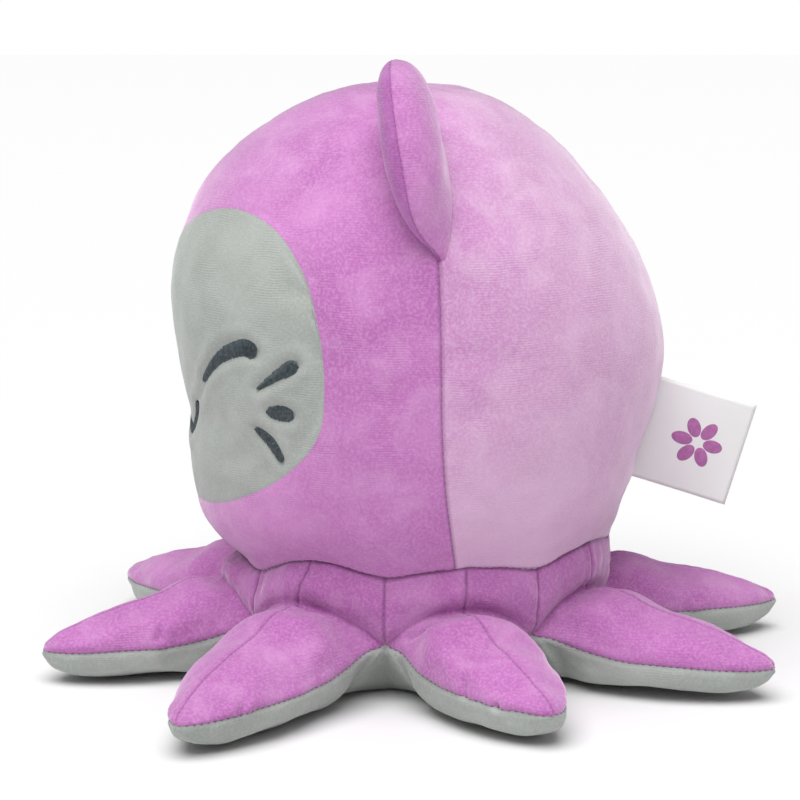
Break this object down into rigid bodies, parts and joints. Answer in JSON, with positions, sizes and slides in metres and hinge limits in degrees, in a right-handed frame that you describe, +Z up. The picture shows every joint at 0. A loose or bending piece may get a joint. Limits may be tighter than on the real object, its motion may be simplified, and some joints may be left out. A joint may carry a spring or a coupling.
{
  "type": "stuffed plush octopus",
  "caption": "Sitting stuffed plush octopus with a round head, a grey face panel, rounded ears and stubby bending tentacles with grey soles.",
  "frame": {"origin": "middle of the flat underside, on the floor", "axes": "+Z up, the face looks along -Y, the toy's left side is +X"},
  "size_m": [0.2928, 0.2926, 0.2419],
  "materials": {
    "pink_plush": "short-pile knitted plush, orchid pink",
    "pale_pink_plush": "short-pile knitted plush, pale orchid with a grey sheen",
    "grey_plush": "short-pile knitted plush, grey",
    "dark_thread": "dense satin-stitch embroidery, dark slate",
    "filling": "polyester fibre filling",
    "satin": "white woven satin ribbon"
  },
  "bodies": {
    "body": {"head_front_panel_left": "pink_plush", "head_front_panel_right": "pink_plush", "head_back_panel_left": "pale_pink_plush", "head_back_panel_right": "pale_pink_plush", "face_panel": "grey_plush", "head_filling": "filling", "base_panel": "grey_plush", "eye_left": "dark_thread", "eye_right": "dark_thread", "mouth": "dark_thread", "skirt_panel_front_left": "pink_plush", "skirt_panel_side_front_left": "pink_plush", "skirt_panel_side_back_left": "pink_plush", "skirt_panel_back_left": "pink_plush", "skirt_panel_back_right": "pink_plush", "skirt_panel_side_back_right": "pink_plush", "skirt_panel_side_front_right": "pink_plush", "skirt_panel_front_right": "pink_plush"},
    "tentacle_front_left": {"tentacle_top_left_front_left": "pink_plush", "tentacle_top_right_front_left": "pink_plush", "tentacle_sole_front_left": "grey_plush", "tentacle_filling_front_left": "filling"},
    "tentacle_side_front_left": {"tentacle_top_left_side_front_left": "pink_plush", "tentacle_top_right_side_front_left": "pink_plush", "tentacle_sole_side_front_left": "grey_plush", "tentacle_filling_side_front_left": "filling"},
    "tentacle_side_back_left": {"tentacle_top_left_side_back_left": "pink_plush", "tentacle_top_right_side_back_left": "pink_plush", "tentacle_sole_side_back_left": "grey_plush", "tentacle_filling_side_back_left": "filling"},
    "tentacle_back_left": {"tentacle_top_left_back_left": "pink_plush", "tentacle_top_right_back_left": "pink_plush", "tentacle_sole_back_left": "grey_plush", "tentacle_filling_back_left": "filling"},
    "tentacle_back_right": {"tentacle_top_left_back_right": "pink_plush", "tentacle_top_right_back_right": "pink_plush", "tentacle_sole_back_right": "grey_plush", "tentacle_filling_back_right": "filling"},
    "tentacle_side_back_right": {"tentacle_top_left_side_back_right": "pink_plush", "tentacle_top_right_side_back_right": "pink_plush", "tentacle_sole_side_back_right": "grey_plush", "tentacle_filling_side_back_right": "filling"},
    "tentacle_side_front_right": {"tentacle_top_left_side_front_right": "pink_plush", "tentacle_top_right_side_front_right": "pink_plush", "tentacle_sole_side_front_right": "grey_plush", "tentacle_filling_side_front_right": "filling"},
    "tentacle_front_right": {"tentacle_top_left_front_right": "pink_plush", "tentacle_top_right_front_right": "pink_plush", "tentacle_sole_front_right": "grey_plush", "tentacle_filling_front_right": "filling"},
    "ear_left": {"ear_front_panel_left": "pink_plush", "ear_back_panel_left": "pale_pink_plush", "ear_filling_left": "filling"},
    "ear_right": {"ear_front_panel_right": "pink_plush", "ear_back_panel_right": "pale_pink_plush", "ear_filling_right": "filling"},
    "label": {"back_label": "satin"}
  },
  "joints": [
    {"name": "tentacle_front_left_bend", "type": "hinge", "parent": "body", "child": "tentacle_front_left", "pos_m": [0.02873, -0.07893, 0.018], "axis": [-0.9397, -0.342, 0], "range_deg": [-15, 40], "stiffness_Nm_per_rad": 0.06},
    {"name": "tentacle_side_front_left_bend", "type": "hinge", "parent": "body", "child": "tentacle_side_front_left", "pos_m": [0.07613, -0.0355, 0.018], "axis": [-0.4226, -0.9063, 0], "range_deg": [-15, 40], "stiffness_Nm_per_rad": 0.06},
    {"name": "tentacle_side_back_left_bend", "type": "hinge", "parent": "body", "child": "tentacle_side_back_left", "pos_m": [0.07893, 0.02873, 0.018], "axis": [0.342, -0.9397, 0], "range_deg": [-15, 40], "stiffness_Nm_per_rad": 0.06},
    {"name": "tentacle_back_left_bend", "type": "hinge", "parent": "body", "child": "tentacle_back_left", "pos_m": [0.0355, 0.07613, 0.018], "axis": [0.9063, -0.4226, 0], "range_deg": [-15, 40], "stiffness_Nm_per_rad": 0.06},
    {"name": "tentacle_back_right_bend", "type": "hinge", "parent": "body", "child": "tentacle_back_right", "pos_m": [-0.02873, 0.07893, 0.018], "axis": [0.9397, 0.342, 0], "range_deg": [-15, 40], "stiffness_Nm_per_rad": 0.06},
    {"name": "tentacle_side_back_right_bend", "type": "hinge", "parent": "body", "child": "tentacle_side_back_right", "pos_m": [-0.07613, 0.0355, 0.018], "axis": [0.4226, 0.9063, 0], "range_deg": [-15, 40], "stiffness_Nm_per_rad": 0.06},
    {"name": "tentacle_side_front_right_bend", "type": "hinge", "parent": "body", "child": "tentacle_side_front_right", "pos_m": [-0.07893, -0.02873, 0.018], "axis": [-0.342, 0.9397, 0], "range_deg": [-15, 40], "stiffness_Nm_per_rad": 0.06},
    {"name": "tentacle_front_right_bend", "type": "hinge", "parent": "body", "child": "tentacle_front_right", "pos_m": [-0.0355, -0.07613, 0.018], "axis": [-0.9063, 0.4226, 0], "range_deg": [-15, 40], "stiffness_Nm_per_rad": 0.06},
    {"name": "ear_left_flop", "type": "hinge", "parent": "body", "child": "ear_left", "pos_m": [0.06457, 0.00909, 0.19558], "axis": [-0.6812, -0.0955, 0.7259], "range_deg": [-14, 25], "stiffness_Nm_per_rad": 0.03},
    {"name": "ear_right_flop", "type": "hinge", "parent": "body", "child": "ear_right", "pos_m": [-0.06457, 0.00909, 0.19558], "axis": [-0.6812, 0.0955, -0.7259], "range_deg": [-6, 25], "stiffness_Nm_per_rad": 0.03},
    {"name": "label_swing", "type": "hinge", "parent": "body", "child": "label", "pos_m": [0, 0.09606, 0.09292], "axis": [0, 0.2924, 0.9563], "range_deg": [-60, 60], "stiffness_Nm_per_rad": 0.002}
  ]
}
